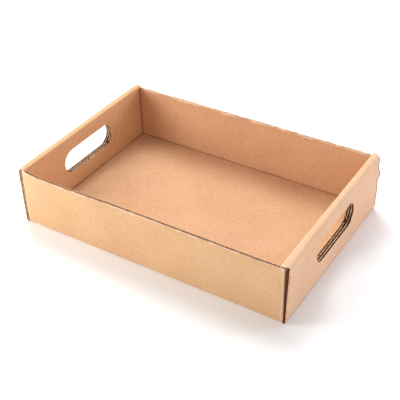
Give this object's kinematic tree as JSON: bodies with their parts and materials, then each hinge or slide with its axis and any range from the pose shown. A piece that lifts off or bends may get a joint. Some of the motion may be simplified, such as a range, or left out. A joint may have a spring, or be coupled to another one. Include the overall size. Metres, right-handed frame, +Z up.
{
  "type": "cardboard tray",
  "caption": "Open corrugated cardboard tray with single-ply sides, roll-over double end walls, tuck flaps, lock tabs and a stadium-shaped hand hole through each end.",
  "frame": {"origin": "under the middle of the tray, on the surface it stands on", "axes": "+X along the tray towards one hand hole, +Y across it, +Z up out of the open top"},
  "size_m": [0.335, 0.224, 0.0733],
  "materials": {
    "kraft_board": "plain brown kraft liners, uncoated and matt, with raw cut edges"
  },
  "bodies": {
    "root": {"tray": "kraft_board"}
  },
  "joints": []
}
